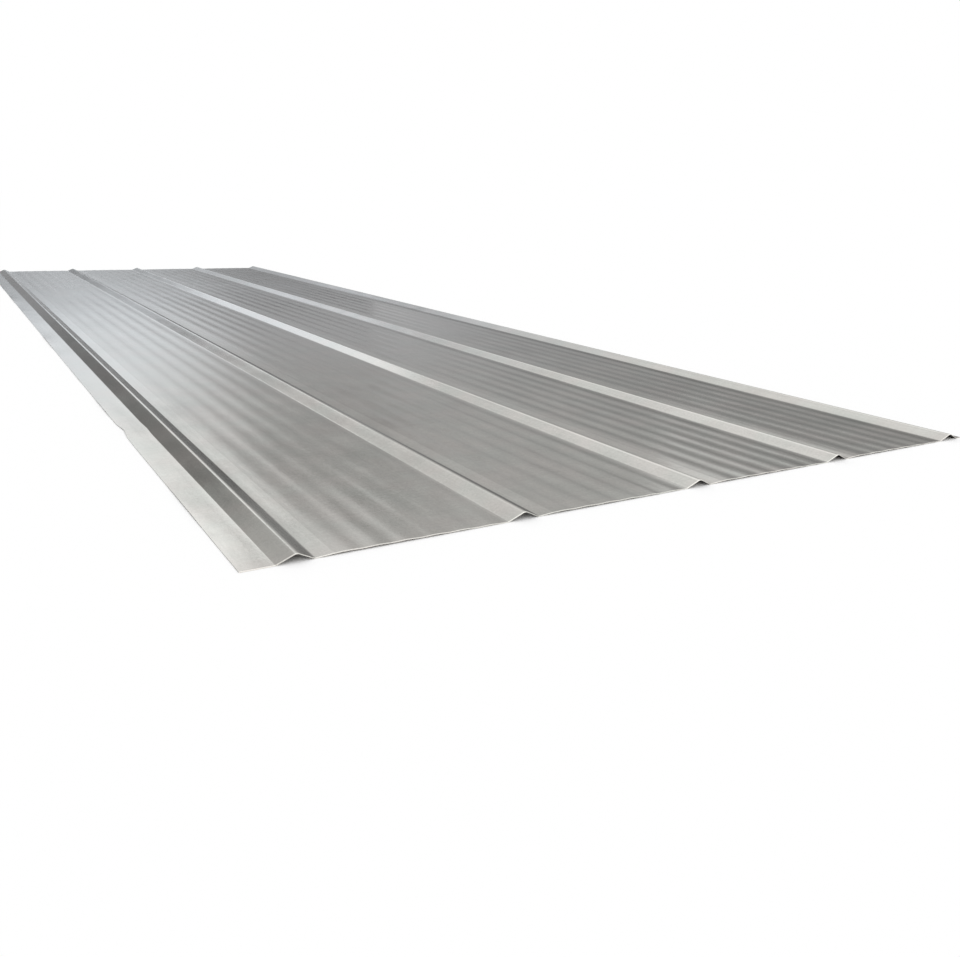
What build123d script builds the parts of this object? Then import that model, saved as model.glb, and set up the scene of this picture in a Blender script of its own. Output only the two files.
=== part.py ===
"""Roll-formed steel roofing sheet: low ribs with shallow flutes in the pans between them.

Sizes are in millimetres. X runs across the sheet, Y along its length and Z up.
The origin is at the middle of the underside, on the surface that the sheet lies on.
"""

import os
from math import atan, degrees, radians, sin

from build123d import *

# Sheet
sheet_length = 3000
sheet_thickness = 0.6

# Ribs, with the long flank towards the side flange
rib_count = 5
rib_pitch = 225
rib_height = 7
long_flank_run = 17
crest_flat = 2.5
short_flank_run = 14
inner_bend_radius = 4

# Side edges: the flange that lies under the next sheet, and the edge that laps over one
side_flange_width = 30
lap_edge_width = 10

# Pans: a plain strip after each short flank, a row of flutes, a narrow land before the next rib
plain_strip_width = 17
narrow_land_width = 4.5
flutes_per_pan = 6
flute_depth = 0.4
flute_flat = 2

# Worked out from the above
rib_base = long_flank_run + crest_flat + short_flank_run
pan_width = rib_pitch - rib_base
overall_width = side_flange_width + (rib_count - 1) * rib_pitch + rib_base + lap_edge_width
flute_pitch = (pan_width - plain_strip_width - narrow_land_width) / flutes_per_pan
flute_slope_run = flute_pitch / 2 - flute_flat
flute_turn = degrees(2 * atan(flute_depth / flute_slope_run))
flute_radius = flute_slope_run / (2 * sin(radians(flute_turn)))


def draw_rib(foot, strip_before, strip_after):
    """Draw one rib of the underside, with the level strips that lead to it and away from it."""
    foot_radius = inner_bend_radius + sheet_thickness
    FilletPolyline(
        (foot - strip_before, 0),
        (foot, 0),
        (foot + long_flank_run, rib_height),
        (foot + long_flank_run + crest_flat, rib_height),
        (foot + rib_base, 0),
        (foot + rib_base + strip_after, 0),
        radius=[foot_radius, inner_bend_radius, inner_bend_radius, foot_radius],
    )


def draw_flutes(start):
    """Draw the flutes across one pan: each climbs to a flat top, then falls to a flat valley."""
    reached = Vector(start, 0)
    for _ in range(flutes_per_pan):
        for turn in (flute_turn, -flute_turn):
            leaving = JernArc(reached, (1, 0), flute_radius, turn)
            levelling = JernArc(leaving @ 1, leaving % 1, flute_radius, -turn)
            flat = Line(levelling @ 1, levelling @ 1 + Vector(flute_flat, 0))
            reached = flat @ 1


with BuildPart() as sheet:
    with BuildSketch(Plane.XZ.offset(-sheet_length / 2)) as section:
        with BuildLine() as underside:
            for rib in range(rib_count):
                is_first = rib == 0
                is_last = rib == rib_count - 1
                foot = side_flange_width - overall_width / 2 + rib * rib_pitch
                draw_rib(
                    foot,
                    side_flange_width if is_first else narrow_land_width,
                    lap_edge_width if is_last else plain_strip_width,
                )
                if not is_last:
                    draw_flutes(foot + rib_base + plain_strip_width)
            # The wall is the same thickness all along the section.
            offset(amount=sheet_thickness, side=Side.LEFT)
        make_face()
    extrude(amount=sheet_length)

sheet.part.label = "sheet"

os.makedirs("parts", exist_ok=True)
export_step(sheet.part, "parts/sheet.step")
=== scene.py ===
"""A coated steel roofing sheet, lying on a pale studio floor. Lengths are in metres."""

from math import atan, ceil, pi, radians, sin, tan
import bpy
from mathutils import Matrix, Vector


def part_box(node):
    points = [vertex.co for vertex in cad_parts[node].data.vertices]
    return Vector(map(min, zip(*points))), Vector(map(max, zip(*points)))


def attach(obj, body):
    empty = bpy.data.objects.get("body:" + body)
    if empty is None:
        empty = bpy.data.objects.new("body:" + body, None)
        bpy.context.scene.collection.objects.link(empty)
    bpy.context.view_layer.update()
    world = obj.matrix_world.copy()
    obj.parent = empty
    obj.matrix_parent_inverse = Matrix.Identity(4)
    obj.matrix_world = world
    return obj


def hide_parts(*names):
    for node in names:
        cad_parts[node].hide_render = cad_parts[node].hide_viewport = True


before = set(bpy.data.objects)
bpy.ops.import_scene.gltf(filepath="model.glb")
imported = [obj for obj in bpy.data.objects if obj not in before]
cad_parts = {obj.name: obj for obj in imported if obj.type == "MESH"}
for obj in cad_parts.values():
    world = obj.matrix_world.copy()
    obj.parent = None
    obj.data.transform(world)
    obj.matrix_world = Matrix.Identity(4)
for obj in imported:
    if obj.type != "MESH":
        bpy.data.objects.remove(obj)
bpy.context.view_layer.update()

from types import SimpleNamespace

import bmesh
import bpy
from mathutils import Matrix, Vector

sheet_low, sheet_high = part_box("sheet")

# Sheet
sheet_length = sheet_high.y - sheet_low.y
wall = 0.0006

# Ribs and side flange
rib_count = 5
rib_pitch = 0.225
rib_height = sheet_high.z - sheet_low.z - wall
long_flank_run = 0.017
crest_flat = 0.0025
short_flank_run = 0.014
rib_base = long_flank_run + crest_flat + short_flank_run
side_flange = 0.030

# Pans
plain_strip = 0.017
narrow_land = 0.0045
flutes_per_pan = 6
flute_depth = 0.0004
flute_flat = 0.002
pan_width = rib_pitch - rib_base
flute_pitch = (pan_width - plain_strip - narrow_land) / flutes_per_pan
flute_slope_run = flute_pitch / 2 - flute_flat
flute_turn = 2 * atan(flute_depth / flute_slope_run)
flute_radius = flute_slope_run / (2 * sin(flute_turn))

# Bends and mesh
inner_bend = 0.004
outer_bend = inner_bend + wall
bend_step = radians(6)
widest_step = 0.008
stretch_count = 4
rows_per_stretch = 21
same_line = 0.00002
smooth_angle = radians(40)

# Unevenness left by rolling and handling; each patch is given by half its width and half its length
strip_tip = radians(4)
end_lift = 0.0004
end_patch = (0.02, 0.005)
bulges_per_pan = 6
bulge_lift = 0.00012
bulge_spread = 0.00008
bulge_wander = 0.11
bulge_patch = (0.012, 0.07)
pan_reach = 0.085
ripple_count = 8
ripple_lift = 0.0006
ripple_spread = 0.0004
ripple_wander = 0.08
ripple_patch = (0.004, 0.06)
flange_reach = 0.026
dent_place = -0.985
dent_depth = 0.0034
dent_lift = 0.0006
dent_patch = (0.003, 0.02)
dent_reach = 0.045

# Steel
warm_steel = (0.424, 0.416, 0.394, 1)
cool_steel = (0.400, 0.407, 0.422, 1)
green_bloom = (0.985, 1, 0.99, 1)
red_bloom = (1.015, 0.99, 0.985, 1)
edge_tint = (0.53, 0.53, 0.53, 1)
relief_depth = 0.0002

# Studio
white = (1, 1, 1, 1)
cool_white = (0.94, 0.975, 1.0, 1.0)
floor_size = 80
ceiling_height = 3.0
back_wall = 12.4
right_wall = 6.0
level = (0, 0, 0)
upright = (radians(90), 0, 0)
sideways = (radians(90), 0, radians(90))

# Camera, from the photo's own perspective
photo_width_px = 960
photo_focal_px = 889.6
sensor_width_mm = 36.0
camera_place = Vector((-0.6643, -2.1525, 0.2870))
camera_yaw = radians(31.46)
camera_pitch = radians(17.37)
camera_roll = radians(1.52)


def select_none():
    """Leave nothing selected, so that an operator works on the new piece alone."""
    if bpy.context.object and bpy.context.object.mode == "EDIT":
        bpy.ops.object.mode_set(mode="OBJECT")
    bpy.ops.object.select_all(action="DESELECT")


def first_foot(rib):
    """Where a rib's long flank leaves the sheet's underside."""
    return sheet_low.x + side_flange + rib * rib_pitch


def flute_corners(start):
    """The corners of one flute: it climbs to a flat top, then falls to a flat valley."""
    quarter = flute_radius * tan(flute_turn / 2)
    climb_end = start + flute_slope_run
    fall_start = climb_end + flute_flat
    fall_end = fall_start + flute_slope_run
    return [
        (start + quarter, 0.0, flute_radius),
        (climb_end - quarter, flute_depth, flute_radius),
        (fall_start + quarter, flute_depth, flute_radius),
        (fall_end - quarter, 0.0, flute_radius),
    ]


def section_corners():
    """The sharp corners of the underside across the sheet, each with the radius of its bend."""
    corners = [(sheet_low.x, 0.0, 0.0)]
    for rib in range(rib_count):
        foot = first_foot(rib)
        corners.append((foot, 0.0, outer_bend))
        corners.append((foot + long_flank_run, rib_height, inner_bend))
        corners.append((foot + long_flank_run + crest_flat, rib_height, inner_bend))
        corners.append((foot + rib_base, 0.0, outer_bend))
        if rib < rib_count - 1:
            start = foot + rib_base + plain_strip
            for flute in range(flutes_per_pan):
                corners.extend(flute_corners(start + flute * flute_pitch))
    corners.append((sheet_high.x, 0.0, 0.0))
    return [(Vector((x, z)), radius) for x, z, radius in corners]


def bend_points(before, corner, after, radius):
    """The points of the arc that rounds one corner."""
    arriving = (corner - before).normalized()
    leaving = (after - corner).normalized()
    turn = arriving.angle_signed(leaving)
    segments = max(2, ceil(abs(turn) / bend_step))
    point = corner - arriving * radius * tan(abs(turn) / 2)
    chord = 2 * radius * sin(abs(turn) / segments / 2)
    points = [point]
    for segment in range(segments):
        heading = arriving.copy()
        heading.rotate(Matrix.Rotation(-turn * (segment + 0.5) / segments, 2))
        point = point + heading * chord
        points.append(point)
    return points


def section_path():
    """The underside across the sheet, with its bends rounded and its wide strips divided."""
    corners = section_corners()
    rounded = [corners[0][0]]
    for (before, _), (corner, radius), (after, _) in zip(corners, corners[1:], corners[2:]):
        rounded.extend(bend_points(before, corner, after, radius))
    rounded.append(corners[-1][0])
    path = [rounded[0]]
    for point in rounded[1:]:
        start = path[-1]
        parts = ceil((point - start).length / widest_step)
        if (point - start).length > same_line:
            path.extend(start.lerp(point, (part + 1) / parts) for part in range(parts))
    return path


def select_long_lines(piece, place=None):
    """Select the lines along the sheet, all of them or the one at a place across it."""
    bpy.ops.mesh.select_all(action="DESELECT")
    mesh = bmesh.from_edit_mesh(piece.data)
    for edge in mesh.edges:
        a, b = edge.verts
        along = abs(a.co.y - b.co.y) > same_line
        if along and (place is None or abs(a.co.x - place) < same_line):
            edge.select = True
    bmesh.update_edit_mesh(piece.data)


def tip(piece, low, high, turn, hinge):
    """Turn the points of the near end between two places about a line along the sheet."""
    bpy.ops.mesh.select_all(action="DESELECT")
    mesh = bmesh.from_edit_mesh(piece.data)
    for point in mesh.verts:
        at_near_end = abs(point.co.y - sheet_low.y) < same_line
        if at_near_end and low - same_line < point.co.x < high - same_line:
            point.select = True
    bmesh.update_edit_mesh(piece.data)
    bpy.ops.transform.rotate(
        value=turn,
        orient_axis="Y",
        orient_type="GLOBAL",
        center_override=(hinge, sheet_low.y, 0),
    )


def tip_strips(piece):
    """Tip each plain strip up from its rib at the near end; the flutes fall back from it."""
    bpy.ops.mesh.select_mode(type="VERT")
    for pan in range(rib_count - 1):
        strip_start = first_foot(pan) + rib_base + outer_bend / 4
        flute_start = first_foot(pan) + rib_base + plain_strip
        land = first_foot(pan + 1) - narrow_land
        fall = strip_tip * (flute_start - strip_start) / (land - flute_start)
        tip(piece, strip_start, flute_start, strip_tip, strip_start)
        tip(piece, flute_start, land, -fall, land)


def roll_sheet():
    """Fold the sheet out from the first strip of its flange, edge by edge, then cut it into rows."""
    select_none()
    path = section_path()
    first_width = path[1].x - path[0].x
    bpy.ops.mesh.primitive_plane_add(size=1, location=(path[0].x + first_width / 2, 0, path[0].y))
    piece = bpy.context.object
    piece.name = "steel_sheet"
    piece.data.name = "steel_sheet"
    piece.scale = (first_width, sheet_length, 1)
    bpy.ops.object.transform_apply(location=True, rotation=True, scale=True)
    bpy.ops.object.mode_set(mode="EDIT")
    bpy.ops.mesh.select_mode(type="EDGE")
    select_long_lines(piece, path[1].x)
    for here, there in zip(path[1:], path[2:]):
        step = (there.x - here.x, 0, there.y - here.y)
        bpy.ops.mesh.extrude_region_move(TRANSFORM_OT_translate={"value": step})
    select_long_lines(piece)
    bpy.ops.mesh.subdivide(number_cuts=stretch_count - 1)
    tip_strips(piece)
    bpy.ops.mesh.select_mode(type="EDGE")
    select_long_lines(piece)
    bpy.ops.mesh.subdivide(number_cuts=rows_per_stretch - 1)
    return piece


def push(piece, place, patch, shift, reach):
    """Move the points of a patch around one place, and those within reach by less and less."""
    bpy.ops.mesh.select_all(action="DESELECT")
    mesh = bmesh.from_edit_mesh(piece.data)
    for point in mesh.verts:
        near_across = abs(point.co.x - place[0]) <= patch[0]
        if near_across and abs(point.co.y - place[1]) <= patch[1]:
            point.select = True
    bmesh.update_edit_mesh(piece.data)
    bpy.ops.transform.translate(
        value=shift,
        use_proportional_edit=True,
        proportional_edit_falloff="SMOOTH",
        proportional_size=reach,
    )


def spot_along(spot, count, drift):
    """The place of one spot of a row along the sheet, off its even place by a drift."""
    return sheet_length * ((spot + 0.5) / count - 0.5) + drift


def wear_pan(piece, pan):
    """Lift one pan at the cut ends, and let it bulge unevenly along the sheet."""
    middle = first_foot(pan) + rib_base + pan_width / 2
    for end in (sheet_low.y, sheet_high.y):
        push(piece, (middle, end), end_patch, (0, 0, end_lift), pan_reach)
    for spot in range(bulges_per_pan):
        phase = 2.4 * spot + 1.7 * pan
        along = spot_along(spot, bulges_per_pan, bulge_wander * sin(phase))
        lift = bulge_lift + bulge_spread * sin(2.1 * phase + 0.6)
        push(piece, (middle, along), bulge_patch, (0, 0, lift), pan_reach)


def wear_flange(piece):
    """Ripple the edge of the side flange, and dent it at one place."""
    for spot in range(ripple_count):
        along = spot_along(spot, ripple_count, ripple_wander * sin(1.9 * spot))
        lift = ripple_lift + ripple_spread * sin(2.7 * spot)
        push(piece, (sheet_low.x, along), ripple_patch, (0, 0, lift), flange_reach)
    push(piece, (sheet_low.x, dent_place), dent_patch, (dent_depth, 0, dent_lift), dent_reach)


def wear_sheet(piece):
    """Give the sheet the unevenness of rolling and handling."""
    bpy.ops.mesh.select_mode(type="VERT")
    for pan in range(rib_count - 1):
        wear_pan(piece, pan)
    wear_flange(piece)


def finish_sheet(piece):
    """Give the sheet its wall and smooth its bends."""
    bpy.ops.object.mode_set(mode="OBJECT")
    solidify = piece.modifiers.new("wall", "SOLIDIFY")
    solidify.thickness = wall
    solidify.offset = 1
    solidify.use_even_offset = True
    bpy.ops.object.modifier_apply(modifier="wall")
    bpy.ops.object.shade_smooth_by_angle(angle=smooth_angle)


class Nodes:
    """Short ways to add the nodes of one material."""

    def __init__(self, tree):
        self.tree = tree

    def add(self, kind, **settings):
        node = self.tree.nodes.new(kind)
        for name, value in settings.items():
            setattr(node, name, value)
        return node

    def feed(self, socket, value):
        """Link a socket to another one, or set its value."""
        if isinstance(value, bpy.types.NodeSocket):
            self.tree.links.new(value, socket)
        else:
            socket.default_value = value

    def coordinates(self):
        """The object's coordinates, whole and as places across, along and up."""
        place = self.add("ShaderNodeTexCoord").outputs["Object"]
        parts = self.add("ShaderNodeSeparateXYZ")
        self.feed(parts.inputs[0], place)
        return place, parts.outputs

    def math(self, operation, first, second=0.0):
        node = self.add("ShaderNodeMath", operation=operation)
        self.feed(node.inputs[0], first)
        self.feed(node.inputs[1], second)
        return node.outputs[0]

    def product(self, first, second):
        return self.math("MULTIPLY", first, second)

    def ramp(self, value, low, high):
        """A soft step from 0 to 1 between two values."""
        node = self.add("ShaderNodeMapRange", interpolation_type="SMOOTHSTEP")
        self.feed(node.inputs["Value"], value)
        node.inputs["From Min"].default_value = low
        node.inputs["From Max"].default_value = high
        return node.outputs["Result"]

    def band(self, value, low, high, soft):
        """1 between two values, fading to 0 over a soft border on each side."""
        rise = self.ramp(value, low - soft, low)
        fall = self.ramp(value, high + soft, high)
        return self.product(rise, fall)

    def stretch(self, vector, scale, turn=0.0):
        """The same coordinates, turned about the upright and scaled."""
        node = self.add("ShaderNodeMapping")
        self.feed(node.inputs["Vector"], vector)
        node.inputs["Scale"].default_value = scale
        node.inputs["Rotation"].default_value = (0, 0, turn)
        return node.outputs["Vector"]

    def noise(self, vector, scale, detail):
        """Cloudy noise about zero."""
        node = self.add("ShaderNodeTexNoise")
        self.feed(node.inputs["Vector"], vector)
        node.inputs["Scale"].default_value = scale
        node.inputs["Detail"].default_value = detail
        return self.math("SUBTRACT", node.outputs["Fac"], 0.5)

    def blend(self, factor, first, second):
        """A colour between two others."""
        node = self.add("ShaderNodeMix", data_type="RGBA")
        self.feed(node.inputs["Factor"], factor)
        colours = [socket for socket in node.inputs if socket.type == "RGBA"]
        colours[0].default_value = first
        colours[1].default_value = second
        return next(socket for socket in node.outputs if socket.type == "RGBA")

    def sum_of(self, start, shares):
        """A value plus a share of each of some others."""
        total = start
        for value, share in shares:
            node = self.add("ShaderNodeMath", operation="MULTIPLY_ADD")
            self.feed(node.inputs[0], value)
            node.inputs[1].default_value = share
            self.feed(node.inputs[2], total)
            total = node.outputs[0]
        return total


def sheet_zones(nodes, across, along, height):
    """Masks for parts of the section, by their place after each rib's first foot, and for the ends."""
    from_foot = nodes.math("SUBTRACT", across, first_foot(0))
    in_pitch = nodes.math("FLOORED_MODULO", from_foot, rib_pitch)
    past_flange = nodes.ramp(from_foot, 0.0, 0.001)
    past_first_rib = nodes.ramp(from_foot, rib_pitch / 2, rib_pitch / 2 + 0.01)
    flutes = nodes.band(in_pitch, rib_base + plain_strip + 0.001, rib_pitch - narrow_land, 0.001)
    short_flank = nodes.band(in_pitch, rib_base - 0.010, rib_base - 0.001, 0.003)
    long_flank = nodes.band(in_pitch, 0.002, long_flank_run, 0.002)
    far_flank = nodes.product(long_flank, nodes.ramp(along, 0.1, 1.3))
    crest = nodes.ramp(height, rib_height - 0.0004, rib_height + 0.0004)
    from_middle = nodes.math("ABSOLUTE", along)
    return SimpleNamespace(
        fluted=nodes.product(flutes, past_flange),
        # painted shade: the short flank beside each rib after the first is darkened where shade falls
        shade_beside_rib=nodes.product(short_flank, past_first_rib),
        # painted shade: the long flanks after the first rib darken towards the far end, dimming their
        # reflection
        dimmed_far_flank=nodes.product(far_flank, past_first_rib),
        dull_end=nodes.ramp(along, 0.0, 1.1),
        dark_end=nodes.product(nodes.ramp(along, 0.3, 1.3), nodes.ramp(across, -0.35, -0.1)),
        crest=crest,
        # painted highlight: the crests of the ribs right of the middle are painted much lighter
        lit_crest=nodes.product(crest, nodes.ramp(across, -0.1, 0.0)),
        cut_end=nodes.ramp(from_middle, sheet_length / 2 - 0.0016, sheet_length / 2 - 0.0006),
    )


def handling_marks(nodes, place):
    """The marks of rolling and handling, from wide clouds to fine grain."""
    scratch_noise = nodes.noise(nodes.stretch(place, (900.0, 6.0, 1.0)), 1.0, 2.0)
    scuff_noise = nodes.noise(nodes.stretch(place, (1000.0, 16.0, 1.0), radians(34)), 1.0, 2.0)
    return SimpleNamespace(
        cloud=nodes.noise(place, 1.6, 2.0),
        smudge=nodes.noise(place, 7.0, 4.0),
        bloom=nodes.ramp(nodes.noise(place, 15.0, 2.0), -0.2, 0.2),
        swell=nodes.noise(nodes.stretch(place, (34.0, 11.0, 34.0)), 1.0, 2.0),
        patch=nodes.noise(nodes.stretch(place, (46.0, 15.0, 46.0)), 1.0, 3.0),
        streak=nodes.noise(nodes.stretch(place, (110.0, 0.9, 1.0)), 1.0, 3.0),
        drag=nodes.noise(nodes.stretch(place, (6.0, 150.0, 1.0), radians(58)), 1.0, 3.0),
        long_scratch=nodes.ramp(scratch_noise, 0.13, 0.24),
        scuff=nodes.ramp(scuff_noise, 0.17, 0.27),
        grain=nodes.noise(place, 420.0, 2.0),
    )


def steel_colour(nodes, along, zones, marks):
    """A grey that goes from warm to cool along the sheet, brightened and dulled by its marks, with
    painted shade and painted highlights in some zones of the section.
    """
    bright = nodes.sum_of(1.0, [
        (marks.cloud, 0.12),
        (marks.smudge, 0.20),
        (marks.patch, 0.26),
        (marks.streak, 0.14),
        (marks.drag, 0.10),
        (marks.long_scratch, 0.07),
        (marks.scuff, 0.08),
        (marks.grain, 0.24),
        (zones.fluted, -0.10),
        # painted shade on the short flanks beside the ribs
        (zones.shade_beside_rib, -0.2),
        # painted shade dimming the long flanks towards the far end
        (zones.dimmed_far_flank, -0.2),
        (zones.dark_end, -0.3),
        # crests a little lighter, partly rubbed wear and partly a painted highlight
        (zones.crest, 0.06),
        # a stronger painted highlight on the crests right of the middle
        (zones.lit_crest, 0.3),
        (zones.cut_end, 0.9),
    ])
    warm_to_cool = nodes.ramp(nodes.sum_of(along, [(marks.cloud, 0.8)]), -1.3, 0.5)
    hue = nodes.add("ShaderNodeVectorMath", operation="MULTIPLY")
    nodes.feed(hue.inputs[0], nodes.blend(warm_to_cool, warm_steel, cool_steel))
    nodes.feed(hue.inputs[1], nodes.blend(marks.bloom, green_bloom, red_bloom))
    colour = nodes.add("ShaderNodeVectorMath", operation="SCALE")
    nodes.feed(colour.inputs[0], hue.outputs[0])
    nodes.feed(colour.inputs["Scale"], bright)
    return colour.outputs[0]


def steel_roughness(nodes, zones, marks):
    """Smooth steel, duller where it is smudged, towards the far end and on the cut ends."""
    return nodes.sum_of(0.15, [
        (marks.smudge, 0.12),
        (marks.patch, 0.08),
        (marks.streak, 0.06),
        (marks.grain, 0.06),
        (zones.fluted, 0.02),
        (zones.dull_end, 0.1),
        (zones.cut_end, 0.2),
    ])


def steel_relief(nodes, marks):
    """The faint swells and streaks of the rolled surface."""
    bump = nodes.add("ShaderNodeBump")
    bump.inputs["Strength"].default_value = 1.0
    bump.inputs["Distance"].default_value = relief_depth
    relief = nodes.sum_of(marks.swell, [(marks.patch, 0.3), (marks.streak, 0.08), (marks.grain, 0.03)])
    nodes.feed(bump.inputs["Height"], relief)
    return bump.outputs["Normal"]


def steel_finish():
    """Coated steel, marked by rolling and handling, with painted shade beside the ribs, painted
    highlights on the crests and bright cut ends.
    """
    material = bpy.data.materials.new("coated_steel")
    material.use_nodes = True
    nodes = Nodes(material.node_tree)
    place, (across, along, height) = nodes.coordinates()
    zones = sheet_zones(nodes, across, along, height)
    marks = handling_marks(nodes, place)
    shader = material.node_tree.nodes["Principled BSDF"]
    nodes.feed(shader.inputs["Base Color"], steel_colour(nodes, along, zones, marks))
    nodes.feed(shader.inputs["Roughness"], steel_roughness(nodes, zones, marks))
    nodes.feed(shader.inputs["Normal"], steel_relief(nodes, marks))
    shader.inputs["Metallic"].default_value = 1.0
    shader.inputs["Specular Tint"].default_value = edge_tint
    return material


def plain_paint(name, grey):
    """A flat paint with no shine, for the studio."""
    material = bpy.data.materials.new(name)
    material.use_nodes = True
    shader = material.node_tree.nodes["Principled BSDF"]
    shader.inputs["Base Color"].default_value = (grey, grey, grey, 1)
    shader.inputs["Roughness"].default_value = 1.0
    shader.inputs["Specular IOR Level"].default_value = 0.0
    return material


def glow_paint(name):
    """A paint that only glows white, with the nodes and coordinates to grade its glow by."""
    material = plain_paint(name, 0.0)
    nodes = Nodes(material.node_tree)
    shader = material.node_tree.nodes["Principled BSDF"]
    shader.inputs["Emission Color"].default_value = white
    return material, nodes, nodes.coordinates()[1], shader


def backdrop_glow():
    """Brightest high up on the left, fading to the right and downwards, with a pale foot."""
    material, nodes, (across, _, height), shader = glow_paint("backdrop_glow")
    lowness = nodes.math("MAXIMUM", nodes.math("SUBTRACT", 1.9, height), 0.0)
    fade = nodes.ramp(nodes.sum_of(across, [(lowness, 1.45)]), 4.1, 1.8)
    border = nodes.ramp(nodes.sum_of(across, [(height, -0.7)]), -1.5, -1.2)
    side = nodes.sum_of(1.08, [(nodes.product(fade, border), 1.32)])
    first_rise = nodes.ramp(height, 0.9, 1.5)
    second_rise = nodes.ramp(height, 1.0, 2.4)
    rise = nodes.sum_of(0.0, [(first_rise, 0.75), (second_rise, 0.25)])
    foot = nodes.ramp(height, 0.7, 0.15)
    strength = nodes.sum_of(nodes.product(side, rise), [(foot, 0.85)])
    nodes.feed(shader.inputs["Emission Strength"], strength)
    nodes.feed(shader.inputs["Emission Color"], nodes.blend(fade, white, cool_white))
    return material


def ceiling_glow():
    """White near the sheet, brighter towards the backdrop and on the left."""
    material, nodes, (across, along, _), shader = glow_paint("ceiling_glow")
    brightness = nodes.product(nodes.ramp(across, 4.1, 1.8), nodes.ramp(along, 7.5, 12.0))
    nodes.feed(shader.inputs["Emission Strength"], nodes.sum_of(1.0, [(brightness, 1.4)]))
    nodes.feed(shader.inputs["Emission Color"], nodes.blend(brightness, white, cool_white))
    return material


def left_glow():
    """A mid grey, paler towards the foot."""
    material, nodes, (_, _, height), shader = glow_paint("left_glow")
    foot = nodes.ramp(height, 1.8, 1.0)
    nodes.feed(shader.inputs["Emission Strength"], nodes.sum_of(0.5, [(foot, 0.3)]))
    return material


def right_glow():
    """A mid grey, paler upwards, at the foot and low down at the far end."""
    material, nodes, (_, along, height), shader = glow_paint("right_glow")
    rise = nodes.ramp(height, 0.3, 2.4)
    foot = nodes.ramp(height, 0.5, 0.1)
    far_foot = nodes.product(nodes.ramp(along, 7.5, 11.5), nodes.ramp(height, 2.0, 1.0))
    strength = nodes.sum_of(0.5, [(rise, 0.45), (foot, 0.35), (far_foot, 0.4)])
    nodes.feed(shader.inputs["Emission Strength"], strength)
    return material


def add_card(name, centre, turn, size, paint):
    """Set up a card out of the picture, for the metal alone to mirror."""
    select_none()
    bpy.ops.mesh.primitive_plane_add(size=1, location=centre, rotation=turn)
    card = bpy.context.object
    card.name = name
    card.scale = (size[0], size[1], 1)
    bpy.ops.object.transform_apply(location=True, rotation=True, scale=True)
    card.data.materials.append(paint)
    card.visible_camera = False
    card.visible_diffuse = False


def add_panel(name, centre, turn, size, radiance):
    """Hang a soft panel of light, for the metal alone to mirror."""
    lamp = bpy.data.lights.new(name, "AREA")
    lamp.shape = "RECTANGLE"
    lamp.size = size[0]
    lamp.size_y = size[1]
    lamp.energy = radiance * pi * lamp.size * lamp.size_y
    lamp.color = cool_white[:3]
    panel = bpy.data.objects.new(name, lamp)
    bpy.context.collection.objects.link(panel)
    panel.location = centre
    panel.rotation_euler = turn
    panel.visible_camera = False
    panel.visible_diffuse = False


def add_overhead(name, across, near_end, far_end, width, radiance):
    """Hang a soft panel at the ceiling, along the sheet."""
    centre = (across, (near_end + far_end) / 2, ceiling_height)
    add_panel(name, centre, level, (width, far_end - near_end), radiance)


def lay_floor():
    """A plain white floor, which keeps the sheet's shadow."""
    select_none()
    bpy.ops.mesh.primitive_plane_add(size=floor_size, location=(0, 0, 0))
    floor = bpy.context.object
    floor.name = "floor"
    floor.data.materials.append(plain_paint("floor_paint", 1.0))


def light_studio():
    """A white studio, with soft panels for the bare metal to mirror."""
    world = bpy.data.worlds.new("studio")
    bpy.context.scene.world = world
    world.use_nodes = True
    background = world.node_tree.nodes["Background"]
    background.inputs["Color"].default_value = white
    background.inputs["Strength"].default_value = 1.0
    add_overhead("overhead_left", 0.475, 0.3, 9.5, 0.55, 0.35)
    add_overhead("overhead_near", 1.23, 0.3, 5.0, 0.96, 0.5)
    add_overhead("overhead_middle", 1.15, 5.0, 12.5, 0.8, 1.7)
    add_overhead("overhead_side", 2.255, 0.3, 6.4, 1.09, 0.65)
    add_overhead("overhead_right", 1.92, 6.4, 12.5, 0.74, 0.85)
    add_panel("right_near", (right_wall, 1.05, 3.65), sideways, (8.1, 2.3), 0.75)
    add_panel("right_far", (right_wall, 8.55, 3.55), sideways, (6.9, 2.5), 0.2)


def set_cards():
    """A graded backdrop and ceiling, and grey cards at the sides, all out of the picture."""
    above_panels = ceiling_height + 0.02
    add_card("backdrop", (2.7, back_wall, 1.5), upright, (6.6, 3.0), backdrop_glow())
    add_card("ceiling", (3.75, 9.95, above_panels), level, (2.9, 4.9), ceiling_glow())
    add_card("left_card", (-2.65, 9.4, 2.45), upright, (4.9, 4.9), left_glow())
    add_card("right_card", (right_wall, 4.7, 1.15), sideways, (15.4, 2.3), right_glow())


def place_camera():
    """Look at the sheet from where the photo was taken."""
    lens = bpy.data.cameras.new("camera")
    lens.sensor_fit = "HORIZONTAL"
    lens.sensor_width = sensor_width_mm
    lens.lens = sensor_width_mm * photo_focal_px / photo_width_px
    lens.clip_start = 0.01
    lens.clip_end = 200
    camera = bpy.data.objects.new("camera", lens)
    bpy.context.collection.objects.link(camera)
    aim = Matrix.Rotation(-camera_yaw, 4, "Z") @ Matrix.Rotation(radians(90) - camera_pitch, 4, "X")
    camera.matrix_world = Matrix.Translation(camera_place) @ aim @ Matrix.Rotation(camera_roll, 4, "Z")
    bpy.context.scene.camera = camera


piece = roll_sheet()
wear_sheet(piece)
finish_sheet(piece)
piece.data.materials.append(steel_finish())
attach(piece, "root")
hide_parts("sheet")

lay_floor()
light_studio()
set_cards()
place_camera()
bpy.context.scene.view_settings.view_transform = "Standard"
